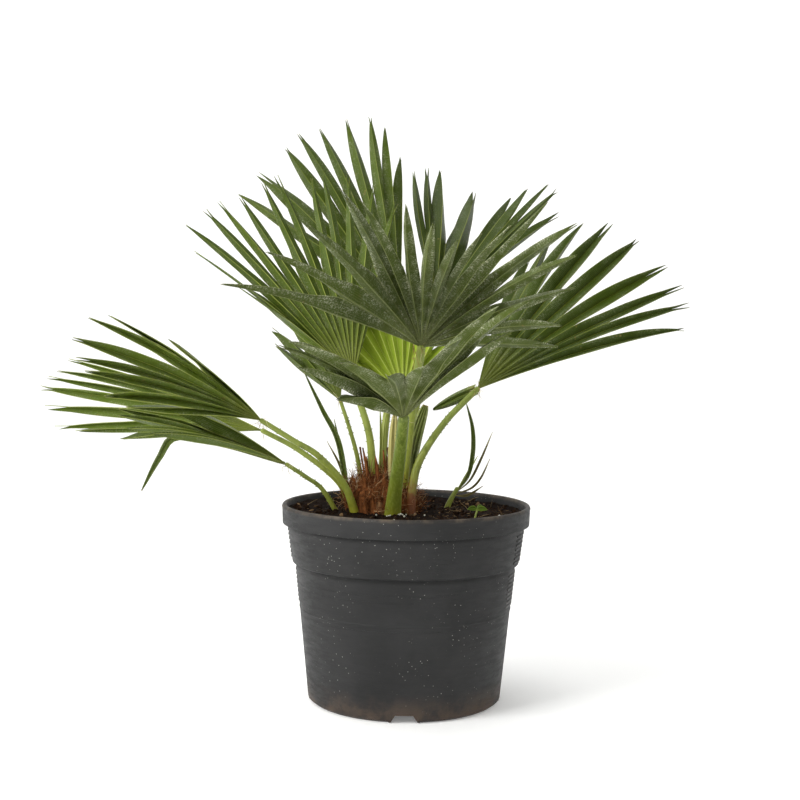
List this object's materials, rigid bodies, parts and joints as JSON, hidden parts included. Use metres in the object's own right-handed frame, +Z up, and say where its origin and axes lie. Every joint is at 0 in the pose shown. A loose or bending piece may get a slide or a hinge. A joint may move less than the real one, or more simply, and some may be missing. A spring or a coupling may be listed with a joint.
{
  "type": "potted palm",
  "caption": "Young fan palm with long thin stalks and pleated fan leaves, growing in a round tapered plastic nursery pot filled with dark compost.",
  "frame": {"origin": "centre of the pot's underside, on the surface it stands on", "axes": "+Z up along the pot's axis; -Y towards the front, where the two forward-leaning leaves are; +X to the right of that front"},
  "size_m": [0.6893, 0.5078, 0.6292],
  "materials": {
    "pot": "matte",
    "soil": "matte",
    "fibre": "matte",
    "leaf": "satin",
    "dusty_leaf": "matte",
    "young_leaf": "satin",
    "spear": "matte",
    "stalk": "satin",
    "pale_sheath": "matte",
    "dry_leaf": "matte"
  },
  "bodies": {
    "root": {"pot": "pot", "soil": "soil", "crown": "fibre", "stalk_front_arch": "stalk", "stalk_right_spread": "stalk", "stalk_left_upright": "stalk", "stalk_front_low": "stalk", "stalk_back_left": "stalk", "stalk_back_right": "stalk", "stalk_left_low_near": "stalk", "stalk_left_low_far": "stalk", "stalk_left_drooping": "stalk", "stalk_young_centre": "stalk", "stalk_small_left": "stalk", "shoot_right_stem": "stalk", "seedling_stem": "stalk", "fan_front_arch": "dusty_leaf", "fan_right_spread": "leaf", "fan_left_upright": "leaf", "fan_front_low": "dusty_leaf", "fan_back_left": "leaf", "fan_back_right": "leaf", "fan_left_low_near": "leaf", "fan_left_low_far": "leaf", "fan_left_drooping": "leaf", "fan_young_centre": "young_leaf", "fan_small_left": "leaf", "spear_leaf": "spear", "pale_sheath": "pale_sheath", "thin_stalk_a": "stalk", "thin_stalk_b": "stalk", "bent_segment": "leaf", "basal_segment": "leaf", "sucker_left_blade": "leaf", "sucker_left_tip_a": "leaf", "sucker_left_tip_b": "dry_leaf", "shoot_right_blade": "leaf", "shoot_right_tip_a": "dry_leaf", "shoot_right_tip_b": "dry_leaf", "shoot_right_tip_c": "dry_leaf", "shoot_right_tip_d": "leaf", "seedling_leaf_a": "leaf", "seedling_leaf_b": "leaf", "seedling_leaf_c": "leaf"}
  },
  "joints": []
}
